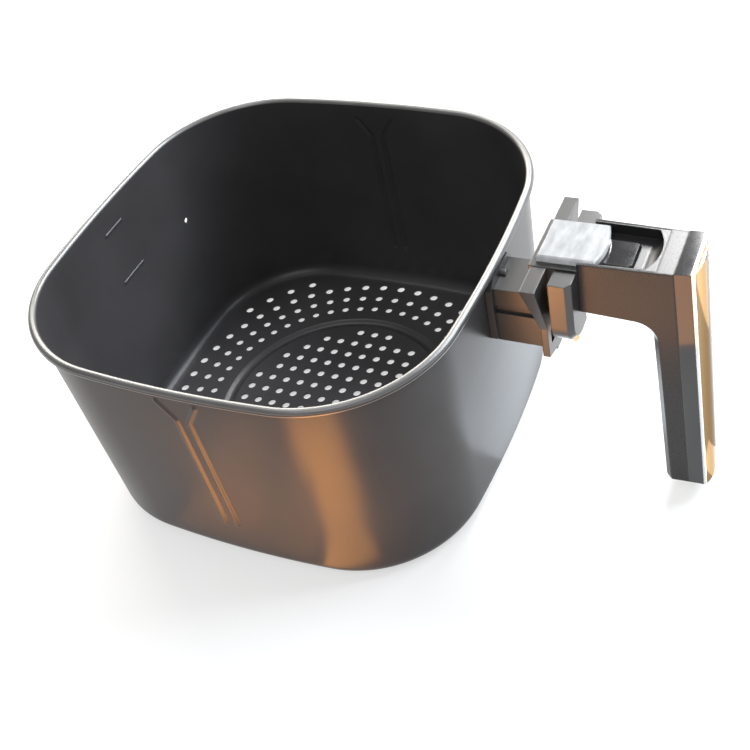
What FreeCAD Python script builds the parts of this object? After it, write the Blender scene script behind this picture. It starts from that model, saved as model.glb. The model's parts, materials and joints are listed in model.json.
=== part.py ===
import FreeCAD, Part
import math
import os

V = FreeCAD.Vector

# Frying basket with a pull handle: +Z up, the handle towards -Y, the origin on the
# ground under the middle of the basket. All sizes are in millimetres.

# Basket sheet and outline
rim_half = 115.0  # half the width across the rolled rim, the same both ways
corner_r = 69.0  # corner radius of the rim, outside
side_r = 650.0  # slow bow of each side, outside
basket_h = 130.0  # from the ground to the top of the rim
sheet = 1.0  # drawn steel
bead_d = 4.4  # rolled rim
wall_draft = 1.8  # each wall leans in by this from rim to floor
bend_r = 8.0  # outside bend between wall and floor
foot_depth = 1.5  # pressed ring under the floor that the basket stands on
foot_inset = 49.0  # from the rim to the middle of that ring
foot_half = 3.5  # half the ring's width at the floor
foot_flat = 1.2  # half the flat that meets the ground
bend_steps = 3  # flats round the bend between wall and floor
bead_steps = 6  # flats round the rolled rim

# Air holes in the floor
grid_pitch = 9.44
grid_edge = 8.0  # plain floor between the square grid of holes and the foot ring's middle
grid_hole_d = 4.5
ring_count = 52  # holes in each full ring
ring_insets = (36.3, 26.8, 16.6)  # rings of holes, from the rim
ring_hole_d = (4.2, 4.5, 4.8)
corner_hole_inset = 6.4  # short extra row in each corner, from the rim at mid side
corner_hole_step = 7.7  # degrees
corner_hole_count = 4
corner_hole_d = 4.8
hole_sides = 6  # flats of each hole

# Pressed marks in the walls
rib_half = 1.6
rib_proud = 0.9
rib_groove_half = 0.9  # narrower dent on the inside
rib_groove_deep = 0.5
rib_gap = 3.4  # each straight rib's distance from the wall's middle
rib_low_z = 28.7
rib_fork_z = 108.3
rib_top_z = 119.5
rib_top_y = 10.5
fill_marks = ((114.6, 8.4), (82.8, 10.4))  # height and half length of each fill line
fill_mark_h = 1.6
fill_mark_proud = 0.5
vent_d = 3.0  # small hole in the back wall
vent_x = 53.0
vent_z = 78.5

# Bracket: pad on the wall, neck, and the shield behind the pan's wall
pad_half = 14.0
pad_t = 3.0
pad_drop = 5.0  # below the rim's top
pad_h = 37.5
pad_corner_r = 4.0
neck_half = 11.5
neck_drop = 9.0  # below the rim's top
neck_h = 32.0
groove_drop = 10.0  # side groove, below the neck's top
groove_h = 4.7
groove_deep = 1.5
shield_reach = 143.0  # from the basket's middle to the shield's slot face
shield_top_t = 6.8
shield_low_t = 3.2
shield_top_half = 33.0
shield_low_half = 22.0
shield_drop = 3.7  # below the handle's top
shield_knee = 31.3  # each of these from the shield's top
shield_side = 48.5
shield_h = 52.7
pocket_half = 18.0  # recess in the slot face
pocket_drop = 34.5  # from the shield's top
pocket_h = 8.6
pocket_deep = 2.0

# Rivets through the wall
rivet_r = 2.0
rivet_head_r = 3.6
rivet_head_h = 3.4
dome_steps = 2  # flats from a rivet head's edge to its top
rivet_len = 7.0
rivet_edge = 4.0  # top rivet, below the plate's top
rivet_rise = 7.5  # lower rivets, above its lower edge
rivet_low_x = 8.0

# Base block in front of the pan's wall
slot_w = 3.4  # the pan's wall goes in here
base_t = 9.8
base_half = 26.0
base_drop = 4.4  # below the handle's top
base_h = 37.8
base_corner_r = 13.0
base_chamfer = 2.4
spigot_half = 10.5  # bridge across the slot to the shield
spigot_rise = 5.7  # above the base block's underside

# Slide track that carries the clear guard
track_half = 16.0
track_h = 12.6
track_overhang = 1.2  # past the shield, over the neck
track_end_wall = 2.4

# Handle arm and grip
arm_half = 15.6  # at the arm's root, along its top edge
arm_narrow = 0.030  # side faces close in by this per millimetre outwards
grip_narrow = 0.011  # and by this per millimetre downwards
arm_len = 40.5  # root to the grip's parting plane, along the top edge
arm_rise = 16.0  # the handle's top, above the rim
arm_h = 29.7  # at the root
arm_drop = 0.088  # slope of the underside towards the grip
grip_lean = 3.2  # degrees
grip_depth = 11.3  # rear face to parting plane, level
grip_low_z = 5.5
grip_tail = 6.5  # height of the grip's curved lower end
elbow_r = 9.0
heel_r = 9.0  # lower rear corner of the grip
shell_bevel = 2.6
tub_len = 32.4  # open tub in the arm's top
tub_wall = 1.7
tub_deep = 5.5
tub_scoop = 7.0  # length of the curved rise at the tub's far end
scoop_mid = (0.25, 0.35)  # middle of that curve, as shares of its length and height
tub_end_r = 24.0  # the tub's far end in plan
well_t = 2.0  # floor of the button well
well_wall = 0.8
arm_cavity_half = 11.5
arm_cavity_len = 28.0
arm_cavity_rise = 3.7  # above the arm's underside at the root
arm_end_wall = 1.4
handle_room = 30.0  # length of the side faces past the handle's ends

# Grip front
band_t = 6.8  # gloss band between the rear shell and the bezel
band_rise = 0.4  # above the arm's top edge
bezel_t = 1.2
bezel_inset = 0.4
bezel_w = 1.7
inlay_crown = 2.6  # height of the panel's middle above the band
inlay_crown_r = 40.0
inlay_end_gap = 2.2  # from the panel's ends to the bezel's ends
inlay_tail = 6.5  # height of the panel's curved lower end

# Release button and latch
button_half = 8.4
button_gap = 0.3
button_start = 1.8  # from the arm's root
button_len = 20.0
button_proud = 1.4  # above the tub's floor
button_corner_r = 2.5
button_bevel = 0.6
button_lip = 1.0
button_lip_t = 2.0
button_travel = 2.2
button_rod_r = 1.6
lever_gap = 0.4  # between the rod's end and the lever
lever_reach = 22.0  # pivot to the rod
pivot_in = 5.1  # behind the slot's outer face
pivot_drop = 4.2  # below the track
pivot_r = 1.5
pivot_half = 9.0
hub_r = 3.2
lever_half = 6.0
leg_half = 4.0
lever_arm_half = 4.2
lever_web = 2.5  # half height of the arm beside the hub
lever_t = 2.2
lever_side_gap = 0.5
hook_swing_gap = 0.6  # past the leg's swing
lever_rise = 6.2  # top of the arm, above the pivot
lever_arm_t = 2.6
hook_back = 4.4  # pivot to the leg's face on the basket side
hook_drop = 16.0  # below the base block
hook_toe_h = 5.0
hook_toe = 1.8
spring_back = 16.5  # from the pivot
spring_r = 2.8  # to the middle of the wire
spring_wire_r = 0.45
spring_turns = 4
spring_steps = 10  # straight runs in each turn
wire_sides = 6

# Clear guard
guard_half = 12.9
guard_start = 2.6  # from the track's rear end
guard_len = 28.0
guard_t = 3.3
guard_bow = 2.4  # rounded front edge
guard_gap = 0.1  # between the guard and the track
guard_bevel = 0.8
tee_neck_half = 3.0
tee_foot_half = 6.0
tee_foot_t = 2.3
tee_neck_h = 3.2
tee_len = 4.0
tee_gap = 0.35

# Screws
screw_r = 1.25
screw_head_r = 2.2
screw_head_t = 2.0
base_screw_x = 8.8
base_screw_rise = 14.6  # above the base block's underside
base_screw_len = 15.0
arm_screw_x = 11.0
arm_screw_rise = 11.9  # above the arm's underside at the root
arm_screw_len = 9.0
grip_screw_drops = (45.0, 112.0)  # below the arm's top, along the grip
grip_screw_sink = 5.0
grip_screw_len = 8.5
fit_gap = 0.05  # around screws, rivets and inserts
over = 1.0  # length of a cut past the face it starts from
pin_gap = 0.03  # around the latch pin

# Heights and places that follow from the sizes above
floor_z = foot_depth
bead_r = bead_d / 2
foot_r = rim_half - foot_inset
grid_reach = foot_r - grid_edge
ring_radii = [rim_half - inset for inset in ring_insets]
corner_hole_r = rim_half - corner_hole_inset
pad_top_z = basket_h - pad_drop
pad_low_z = pad_top_z - pad_h
rivet_top_z = pad_top_z - rivet_edge
rivet_low_z = pad_low_z + rivet_rise
neck_top_z = basket_h - neck_drop
neck_low_z = neck_top_z - neck_h
groove_top_z = neck_top_z - groove_drop
groove_low_z = groove_top_z - groove_h
arm_top_z = basket_h + arm_rise
arm_root_low_z = arm_top_z - arm_h
arm_cavity_low_z = arm_root_low_z + arm_cavity_rise
arm_screw_z = arm_root_low_z + arm_screw_rise
shield_top_z = arm_top_z - shield_drop
shield_knee_z = shield_top_z - shield_knee
shield_side_z = shield_top_z - shield_side
shield_low_z = shield_top_z - shield_h
pocket_top_z = shield_top_z - pocket_drop
pocket_low_z = pocket_top_z - pocket_h
base_top_z = arm_top_z - base_drop
base_low_z = base_top_z - base_h
spigot_low_z = base_low_z + spigot_rise
base_screw_z = base_low_z + base_screw_rise
track_top_z = arm_top_z - guard_t - guard_gap
track_low_z = track_top_z - track_h
tub_floor_z = arm_top_z - tub_deep
button_top_z = tub_floor_z + button_proud
pivot_z = track_low_z - pivot_drop
lever_top_z = pivot_z + lever_rise
hook_low_z = base_low_z - hook_drop
hook_catch_z = hook_low_z + hook_toe_h
shield_y = -shield_reach
base_back_y = shield_y - slot_w
root_y = base_back_y - base_t
part_y = root_y - arm_len
pivot_y = base_back_y - pivot_in
lean = math.radians(grip_lean)
track_back_y = shield_y + shield_top_t + track_overhang
well_low_z = tub_floor_z - well_t
lever_angle = button_travel / lever_reach
rod_y = pivot_y - lever_reach


def box(x0, x1, y0, y1, z0, z1):
    return Part.makeBox(x1 - x0, y1 - y0, z1 - z0, V(x0, y0, z0))


def wide_box(half, y0, y1, z0, z1):
    return box(-half, half, min(y0, y1), max(y0, y1), z0, z1)


def rod_x(radius, half, y, z):
    return Part.makeCylinder(radius, 2 * half, V(-half, y, z), V(1, 0, 0))


def rod_y_axis(radius, x, z, y0, y1):
    return Part.makeCylinder(radius, abs(y1 - y0), V(x, min(y0, y1), z), V(0, 1, 0))


def closed_face(place, start, steps):
    """A face from lines, given by one point, and arcs, given by a middle and an end."""
    edges = []
    here = place(*start)
    for step in steps:
        points = [place(*point) for point in step]
        if len(points) == 1:
            edges.append(Part.makeLine(here, points[0]))
        else:
            edges.append(Part.Arc(here, points[0], points[1]).toShape())
        here = points[-1]
    return Part.Face(Part.Wire(edges))


def side_prism(start, steps, half):
    """A profile of (y, z) points, as wide as stated, about the middle plane."""
    face = closed_face(lambda y, z: V(-half, y, z), start, steps)
    return face.extrude(V(2 * half, 0, 0))


def front_prism(start, steps, y0, y1):
    """A profile of (x, z) points, extruded along Y."""
    face = closed_face(lambda x, z: V(x, y0, z), start, steps)
    return face.extrude(V(0, y1 - y0, 0))


def edges_where(shape, test):
    """Edges whose ends and middle all meet the test."""
    found = []
    for edge in shape.Edges:
        first, last = edge.ParameterRange
        points = [edge.valueAt(first + (last - first) * share) for share in (0.0, 0.5, 1.0)]
        if all(test(point) for point in points):
            found.append(edge)
    return found


def near(a, b):
    return abs(a - b) < 0.01


def outline_arcs():
    """The rim's outline as tangent arcs: centre, radius, start and sweep in degrees."""
    pull = side_r - rim_half
    reach = side_r - corner_r
    corner = (math.sqrt(2 * reach * reach - pull * pull) - pull) / 2
    half_side = math.degrees(math.atan2(corner, corner + pull))
    arcs = []
    for quarter in range(4):
        turn = 90.0 * quarter
        c = math.cos(math.radians(turn))
        s = math.sin(math.radians(turn))
        arcs.append((V(-pull * c, -pull * s, 0), side_r, turn - half_side, 2 * half_side))
        middle = V(corner * (c - s), corner * (s + c), 0)
        arcs.append((middle, corner_r, turn + half_side, 90.0 - 2 * half_side))
    return arcs


def on_arc(centre, radius, degrees, z=0.0):
    angle = math.radians(degrees)
    return centre + V(radius * math.cos(angle), radius * math.sin(angle), z)


def outline_wire(offset, z):
    """The rim's outline, moved outwards by an offset, as a closed wire."""
    edges = []
    for centre, radius, begin, sweep in outline_arcs():
        points = [on_arc(centre, radius + offset, begin + sweep * share, z) for share in (0.0, 0.5, 1.0)]
        edges.append(Part.Arc(*points).toShape())
    return Part.Wire(edges)


def wall_lines():
    """Sizes of the wall's section: bead centre, draft angle and bend centre, as offset and height."""
    bead = (-bead_r, basket_h - bead_r)
    bend_z = floor_z + bend_r
    draft = math.atan2(wall_draft, bead[1] - bend_z)
    bend_d = bead[0] + ((bend_z - bead[1]) * math.sin(draft) - (bead_r - sheet + bend_r)) / math.cos(draft)
    return bead, draft, (bend_d, bend_z)


def wall_face_d(z, depth):
    """Offset of the wall at a height, a depth in from its outer face."""
    bead, draft, bend = wall_lines()
    outer = bead[0] - (bead_r - sheet) / math.cos(draft) + (z - bead[1]) * math.tan(draft)
    return outer - depth / math.cos(draft)


def sweep_outline(start, steps):
    """A section of (offset, height) points carried round the rim's outline."""
    pieces = []
    for centre, radius, begin, sweep in outline_arcs():
        def place(d, z):
            return on_arc(centre, radius + d, begin, z)
        face = closed_face(place, start, steps)
        pieces.append(face.revolve(centre, V(0, 0, 1), sweep))
    return pieces[0].multiFuse(pieces[1:]).removeSplitter()


def arc_points(centre, radius, begin, end, steps):
    """Points on an arc of a section, both ends included."""
    points = []
    for k in range(steps + 1):
        angle = begin + (end - begin) * k / steps
        points.append((centre[0] + radius * math.cos(angle), centre[1] + radius * math.sin(angle)))
    return points


def plain_wall():
    """The drawn wall: bend at the floor, leaning side and rolled rim."""
    bead, draft, bend = wall_lines()
    chord = math.acos((bead_r - sheet) / bead_r)
    inner = math.pi - draft
    outer_bend = arc_points(bend, bend_r, -math.pi / 2, -draft, bend_steps)
    rim = arc_points(bead, bead_r, inner + chord - 2 * math.pi, inner, bead_steps)
    inner_bend = arc_points(bend, bend_r - sheet, -draft, -math.pi / 2, bend_steps)
    points = outer_bend + rim + inner_bend
    return sweep_outline(points[0], [(point,) for point in points[1:] + points[:1]])


def bar_outline(path, half):
    """Outline of a bar along a path of (y, z) points, with mitred corners."""
    left = []
    right = []
    for k, (y, z) in enumerate(path):
        normals = []
        for a, b in ((k - 1, k), (k, k + 1)):
            if a >= 0 and b < len(path):
                run = (path[b][0] - path[a][0], path[b][1] - path[a][1])
                length = math.hypot(*run)
                normals.append((-run[1] / length, run[0] / length))
        mean = [sum(n[axis] for n in normals) / len(normals) for axis in (0, 1)]
        share = half / (mean[0] ** 2 + mean[1] ** 2)
        left.append((y + mean[0] * share, z + mean[1] * share))
        right.append((y - mean[0] * share, z - mean[1] * share))
    return left + right[::-1]


def rib_bar(side, hand, half, depth_in, depth_out):
    """Pressed rib on the wall at side (+1 or -1 in X), from one depth in the sheet to another."""
    path = [(hand * rib_gap, rib_low_z), (hand * rib_gap, rib_fork_z), (hand * rib_top_y, rib_top_z)]
    outline = bar_outline(path, half)

    def place(y, z):
        bow = rib_gap * rib_gap / (2 * side_r)
        return V(side * (rim_half + wall_face_d(z, depth_in) - bow), y, z)

    face = closed_face(place, outline[0], [(point,) for point in outline[1:] + outline[:1]])
    return face.extrude(V(side * (depth_in - depth_out), 0, 0))


def rivet_places():
    return ((0.0, rivet_top_z), (rivet_low_x, rivet_low_z), (-rivet_low_x, rivet_low_z))


def make_wall():
    """The drawn wall with its pressed ribs, fill lines and holes."""
    wall = plain_wall()
    for side in (1, -1):
        for hand in (1, -1):
            wall = wall.fuse(rib_bar(side, hand, rib_half, sheet / 2, -rib_proud))
            wall = wall.cut(rib_bar(side, hand, rib_groove_half, sheet * 2, sheet - rib_groove_deep))
    for z, half in fill_marks:
        inner_y = rim_half + wall_face_d(z, sheet)
        low_z = z - fill_mark_h / 2
        bar = wide_box(half, inner_y - fill_mark_proud, inner_y + sheet / 2, low_z, low_z + fill_mark_h)
        wall = wall.fuse(bar)
    wall = wall.cut(rod_y_axis(vent_d / 2, vent_x, vent_z, rim_half / 2, rim_half))
    for x, z in rivet_places():
        wall = wall.cut(rod_y_axis(rivet_r + fit_gap, x, z, -rim_half, -rim_half / 2))
    return wall.removeSplitter()


def hole_wire(x, y, diameter, z):
    points = []
    for k in range(hole_sides + 1):
        angle = 2 * math.pi * (k + 0.5) / hole_sides
        points.append(V(x + diameter / 2 * math.cos(angle), y + diameter / 2 * math.sin(angle), z))
    return Part.makePolygon(points)


def polar_hole(radius, degrees, diameter, z):
    angle = math.radians(degrees)
    return hole_wire(radius * math.cos(angle), radius * math.sin(angle), diameter, z)


def band_holes(z):
    wires = []
    for radius, diameter in zip(ring_radii, ring_hole_d):
        for k in range(ring_count):
            wires.append(polar_hole(radius, 360.0 * k / ring_count, diameter, z))
    first = 45.0 - corner_hole_step * (corner_hole_count - 1) / 2
    for quarter in range(4):
        for k in range(corner_hole_count):
            degrees = 90.0 * quarter + first + corner_hole_step * k
            wires.append(polar_hole(corner_hole_r, degrees, corner_hole_d, z))
    return wires


def grid_holes(z):
    wires = []
    count = int(grid_reach / grid_pitch)
    for i in range(-count, count + 1):
        for j in range(-count, count + 1):
            if math.hypot(i, j) * grid_pitch <= grid_reach:
                wires.append(hole_wire(i * grid_pitch, j * grid_pitch, grid_hole_d, z))
    return wires


def circle_wire(radius, z):
    return Part.Wire(Part.makeCircle(radius, V(0, 0, z)))


def holed_plate(wires):
    face = Part.makeFace(wires, "Part::FaceMakerBullseye")
    return face.extrude(V(0, 0, sheet))


def foot_ring():
    """Pressed ring that dips from the floor to the ground."""
    low = [(foot_r + foot_half, foot_depth), (foot_r + foot_flat, 0.0),
           (foot_r - foot_flat, 0.0), (foot_r - foot_half, foot_depth)]
    high = [(r, z + sheet) for r, z in low[::-1]]
    points = low + high
    face = closed_face(lambda r, z: V(r, 0, z), points[0], [(point,) for point in points[1:] + points[:1]])
    return face.revolve(V(0, 0, 0), V(0, 0, 1), 360)


def make_floor():
    """The perforated floor: outer band, foot ring and middle disc, sewn along their shared edges."""
    bend_d = wall_lines()[2][0]
    outer_r = foot_r + foot_half
    inner_r = foot_r - foot_half
    band = holed_plate([outline_wire(bend_d, floor_z), circle_wire(outer_r, floor_z)] + band_holes(floor_z))
    disc = holed_plate([circle_wire(inner_r, floor_z)] + grid_holes(floor_z))

    def seam(face):
        round_face = isinstance(face.Surface, Part.Cylinder)
        return round_face and (near(face.Surface.Radius, outer_r) or near(face.Surface.Radius, inner_r))

    faces = [face for piece in (band, foot_ring(), disc) for face in piece.Faces if not seam(face)]
    shell = Part.makeShell(faces)
    shell.sewShape()
    return Part.makeSolid(shell)


def front_wall_y(z):
    """The front wall's inner face at the middle of the side."""
    return -(rim_half + wall_face_d(z, sheet))


def rivet_seat_y(x, z):
    """Where a head's flat underside clears the wall, which leans and bows."""
    edge = abs(x) + rivet_head_r
    return front_wall_y(z - rivet_head_r) + edge * edge / (2 * side_r) + fit_gap


def make_rivets():
    """Domed rivets, heads inside the basket."""
    rivets = []
    for x, z in rivet_places():
        seat_y = rivet_seat_y(x, z)
        end_y = front_wall_y(z) - rivet_len
        quarter = [math.pi / 2 * k / dome_steps for k in range(dome_steps + 1)]
        dome = [(rivet_head_r * math.cos(t), seat_y + rivet_head_h * math.sin(t)) for t in quarter]
        points = [(0.0, end_y), (rivet_r, end_y), (rivet_r, seat_y)] + dome[:-1]
        points.append((0.0, seat_y + rivet_head_h))

        def place(radius, y):
            return V(x + radius, y, z)

        face = closed_face(place, points[0], [(point,) for point in points[1:] + points[:1]])
        rivets.append(face.revolve(V(x, 0, z), V(0, 1, 0), 360))
    return Part.makeCompound(rivets)


def shield_plate():
    back_top_y = shield_y + shield_top_t
    back_low_y = shield_y + shield_low_t
    side = side_prism(
        (shield_y, shield_low_z),
        [((shield_y, shield_top_z),), ((back_top_y, shield_top_z),), ((back_low_y, shield_knee_z),),
         ((back_low_y, shield_low_z),), ((shield_y, shield_low_z),)],
        shield_top_half)
    outline = front_prism(
        (-shield_top_half, shield_top_z),
        [((shield_top_half, shield_top_z),), ((shield_low_half, shield_knee_z),),
         ((shield_low_half, shield_side_z),),
         ((0.0, shield_low_z), (-shield_low_half, shield_side_z)),
         ((-shield_low_half, shield_knee_z),), ((-shield_top_half, shield_top_z),)],
        shield_y, back_top_y)
    plate = side.common(outline)
    pocket = wide_box(pocket_half, shield_y, shield_y + pocket_deep, pocket_low_z, pocket_top_z)
    return plate.cut(pocket)


def plate_face_y():
    """The wall plate's outer face, which the neck stands on."""
    return front_wall_y(pad_top_z) - sheet - pad_t


def rivet_bores(shape):
    for x, z in rivet_places():
        end_y = front_wall_y(z) - rivet_len - fit_gap
        shape = shape.cut(rod_y_axis(rivet_r + fit_gap, x, z, end_y, 0.0))
    return shape


def make_wall_plate():
    """Steel plate between the basket's wall and the neck, with the wall's lean on its inner face."""
    outer_y = plate_face_y()
    top_y = front_wall_y(pad_top_z) - sheet
    low_y = front_wall_y(pad_low_z) - sheet
    plate = side_prism(
        (outer_y, pad_low_z),
        [((outer_y, pad_top_z),), ((top_y, pad_top_z),), ((low_y, pad_low_z),), ((outer_y, pad_low_z),)],
        pad_half)
    corners = edges_where(plate, lambda p: near(abs(p.x), pad_half)
                          and (near(p.z, pad_low_z) or near(p.z, pad_top_z)))
    plate = plate.makeChamfer(pad_corner_r, corners)
    return rivet_bores(plate).removeSplitter()


def make_bracket():
    """Grooved neck and shield in one moulding."""
    neck = wide_box(neck_half, shield_y, plate_face_y(), neck_low_z, neck_top_z)
    for side in (1, -1):
        ends = sorted((side * (neck_half - groove_deep), side * (neck_half + groove_deep)))
        neck = neck.cut(box(ends[0], ends[1], shield_y + shield_top_t, plate_face_y(),
                            groove_low_z, groove_top_z))
    body = neck.fuse(shield_plate()).cut(track_block(fit_gap))
    for tool in base_screw_tools(fit_gap):
        body = body.cut(tool)
    return rivet_bores(body).removeSplitter()


def base_screw_tools(gap):
    """Two screws from the base block into the neck, grown by a gap."""
    tools = []
    for side in (1, -1):
        x = side * base_screw_x
        head_y = root_y + screw_head_t
        shank = rod_y_axis(screw_r + gap, x, base_screw_z, head_y + base_screw_len + gap, root_y)
        head = rod_y_axis(screw_head_r + gap, x, base_screw_z, root_y, head_y + gap)
        tools.append(shank.fuse(head).removeSplitter())
    return tools


def arm_screw_tools(gap):
    """Two screws from inside the arm into the base block, grown by a gap."""
    tools = []
    for side in (1, -1):
        x = side * arm_screw_x
        seat_y = root_y - arm_end_wall
        shank = rod_y_axis(screw_r + gap, x, arm_screw_z, seat_y, seat_y + arm_screw_len + gap)
        head = rod_y_axis(screw_head_r + gap, x, arm_screw_z, seat_y - screw_head_t - gap, seat_y)
        tools.append(shank.fuse(head).removeSplitter())
    return tools


def track_block(gap):
    return wide_box(track_half + gap, root_y, track_back_y, track_low_z, track_top_z)


def make_track():
    """Block under the guard with a T slot along it."""
    block = track_block(0.0)
    start_y = track_back_y - track_end_wall
    neck_low = track_top_z - tee_neck_h - tee_gap
    neck = wide_box(tee_neck_half + tee_gap, root_y, start_y, neck_low, track_top_z)
    foot_top = guard_low_z() - tee_neck_h + tee_gap
    foot_low = guard_low_z() - tee_neck_h - tee_foot_t - tee_gap
    foot = wide_box(tee_foot_half + tee_gap, root_y, start_y, foot_low, foot_top)
    return block.cut(neck).cut(foot).removeSplitter()


def lever_channel():
    """Room for the latch inside the base block, open below and in front."""
    half = lever_half + lever_side_gap
    swing = (pivot_z - spigot_low_z) * lever_angle + hook_swing_gap
    leg_y = pivot_y + hook_back + swing
    return wide_box(half, root_y, leg_y, base_low_z, track_low_z)


def make_base():
    """Block in front of the pan's wall, with the spigot that crosses the slot."""
    bend = base_corner_r * (1 - math.sqrt(0.5))
    block = front_prism(
        (-base_half, base_top_z),
        [((base_half, base_top_z),), ((base_half, base_low_z + base_corner_r),),
         ((base_half - bend, base_low_z + bend), (base_half - base_corner_r, base_low_z)),
         ((-base_half + base_corner_r, base_low_z),),
         ((-base_half + bend, base_low_z + bend), (-base_half, base_low_z + base_corner_r)),
         ((-base_half, base_top_z),)],
        base_back_y, root_y)
    front = [edge for edge in edges_where(block, lambda p: near(p.y, root_y))
             if not near(edge.CenterOfMass.z, base_top_z)]
    block = block.makeChamfer(base_chamfer, front)
    spigot = wide_box(spigot_half, base_back_y, shield_y, spigot_low_z, track_low_z)
    block = block.fuse(spigot).cut(track_block(fit_gap)).cut(lever_channel())
    block = block.cut(rod_x(pivot_r + pin_gap, pivot_half + fit_gap, pivot_y, pivot_z))
    for tool in base_screw_tools(fit_gap) + arm_screw_tools(fit_gap):
        block = block.cut(tool)
    return block.removeSplitter()


def side_half(y, z, inset):
    """Half width of the handle at a place, less an inset."""
    return arm_half - arm_narrow * (root_y - y) - grip_narrow * (arm_top_z - z) - inset


def handle_wedge(y0, y1, z0, z1, inset):
    """Space between the handle's two side faces."""
    corner = {}
    for side in (-1, 1):
        for y in (y0, y1):
            for z in (z0, z1):
                corner[side, y, z] = V(side * side_half(y, z, inset), y, z)

    def sheet_of(keys):
        points = [corner[key] for key in keys]
        return Part.Face(Part.makePolygon(points + points[:1]))

    faces = [sheet_of([(s, y0, z0), (s, y1, z0), (s, y1, z1), (s, y0, z1)]) for s in (-1, 1)]
    faces += [sheet_of([(-1, y, z0), (1, y, z0), (1, y, z1), (-1, y, z1)]) for y in (y0, y1)]
    faces += [sheet_of([(-1, y0, z), (1, y0, z), (1, y1, z), (-1, y1, z)]) for z in (z0, z1)]
    solid = Part.makeSolid(Part.makeShell(faces))
    if solid.Volume < 0:
        solid.reverse()
    return solid


def whole_wedge(inset):
    """The handle's side faces over more than its whole length and height."""
    return handle_wedge(part_y - handle_room, root_y + handle_room,
                        grip_low_z - handle_room, arm_top_z + handle_room, inset)


def part_line_y(z):
    """The grip's parting plane at a height."""
    return part_y - math.tan(lean) * (arm_top_z - z)


def arm_low_z(y):
    """The arm's underside at a place along it."""
    return arm_root_low_z - arm_drop * (root_y - y)


def grip_frame(shape):
    """Moves a shape from the grip's own frame, with its parting plane at y = 0 and top at z = 0."""
    shape.rotate(V(0, 0, 0), V(1, 0, 0), -grip_lean)
    shape.translate(V(0, part_y, arm_top_z))
    return shape


def grip_screw_tools(gap, clear):
    """Screws from the grip's rear into the band, with a clear hole behind each head if asked."""
    tools = []
    for drop in grip_screw_drops:
        seat = grip_depth - grip_screw_sink
        shank = rod_y_axis(screw_r + gap, 0, -drop, seat - grip_screw_len - gap, seat)
        head_end = grip_depth * 2 if clear else seat + screw_head_t
        head = rod_y_axis(screw_head_r + gap, 0, -drop, seat - gap, head_end)
        tools.append(grip_frame(shank.fuse(head).removeSplitter()))
    return tools


def tub_tool(inset, floor, end_y):
    """Space of the open tub, between the arm's walls, with a curved rise at its far end."""
    rise = arm_top_z - floor
    scoop_y = end_y + tub_scoop
    profile = side_prism(
        (root_y + over, floor),
        [((scoop_y, floor),),
         ((end_y + tub_scoop * scoop_mid[0], floor + rise * scoop_mid[1]), (end_y, arm_top_z)),
         ((end_y, arm_top_z + over),), ((root_y + over, arm_top_z + over),), ((root_y + over, floor),)],
        arm_half)
    middle_y = end_y + tub_end_r
    plan = Part.makeCylinder(tub_end_r, arm_top_z, V(0, middle_y, floor - over))
    plan = plan.fuse(wide_box(arm_half, middle_y, root_y + over, floor - over, floor + arm_top_z))
    return profile.common(whole_wedge(inset)).common(plan)


def low_end(shape):
    """Rounds a piece of the handle off at the grip's lower end."""
    half = side_half(part_y, grip_low_z, 0.0)
    low = -grip_height()
    outline = front_prism(
        (-arm_half, handle_room),
        [((arm_half, handle_room),), ((arm_half, low + grip_tail),), ((half, low + grip_tail),),
         ((0.0, low), (-half, low + grip_tail)), ((-arm_half, low + grip_tail),),
         ((-arm_half, handle_room),)],
        -handle_room, arm_len + handle_room)
    return shape.common(grip_frame(outline))


def make_shell():
    """Rear shell of the handle: the arm with its open tub, the elbow and the grip's back."""
    elbow_y = part_line_y(arm_low_z(part_y)) + grip_depth
    elbow_z = arm_low_z(elbow_y)
    heel_y = part_line_y(grip_low_z) + grip_depth
    low_y = part_line_y(grip_low_z)
    prism = side_prism(
        (root_y, arm_top_z),
        [((part_y, arm_top_z),), ((low_y, grip_low_z),), ((heel_y, grip_low_z),),
         ((elbow_y, elbow_z),), ((root_y, arm_root_low_z),), ((root_y, arm_top_z),)],
        arm_half * 2)
    elbow = edges_where(prism, lambda p: near(p.y, elbow_y) and near(p.z, elbow_z))
    prism = prism.makeFillet(elbow_r, elbow)
    heel = edges_where(prism, lambda p: near(p.y, heel_y) and near(p.z, grip_low_z))
    prism = prism.makeFillet(heel_r, heel)
    shell = prism.common(whole_wedge(0.0))

    def under_edge(p):
        on_side = near(abs(p.x), side_half(p.y, p.z, 0.0))
        front = near(p.y, part_line_y(p.z))
        return on_side and not front and not near(p.y, root_y) and not near(p.z, arm_top_z)

    under = [edge for edge in shell.Edges
             if under_edge(edge.valueAt(sum(edge.ParameterRange) / 2))]
    shell = low_end(shell.makeChamfer(shell_bevel, under))
    tub_end_y = root_y - tub_len
    insert = wide_box(arm_half, root_y + over, tub_end_y - well_wall, well_low_z, arm_top_z + over)
    shell = shell.cut(insert.common(whole_wedge(tub_wall - well_wall)))
    cavity_back = root_y - arm_end_wall
    shell = shell.cut(wide_box(arm_cavity_half, cavity_back, cavity_back - arm_cavity_len,
                               arm_cavity_low_z, well_low_z))
    lever_gate = lever_half + lever_side_gap
    shell = shell.cut(wide_box(lever_gate, root_y + over, cavity_back - over, arm_cavity_low_z, well_low_z))
    for tool in arm_screw_tools(fit_gap) + grip_screw_tools(fit_gap, True):
        shell = shell.cut(tool)
    return shell.removeSplitter()


def button_plan(half, y0, y1, corner, z0, z1):
    """A rounded rectangle in plan, as a block."""
    block = wide_box(half, y0, y1, z0, z1)
    corners = edges_where(block, lambda p: near(abs(p.x), half) and (near(p.y, y0) or near(p.y, y1)))
    return block.makeFillet(corner, corners)


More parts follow.
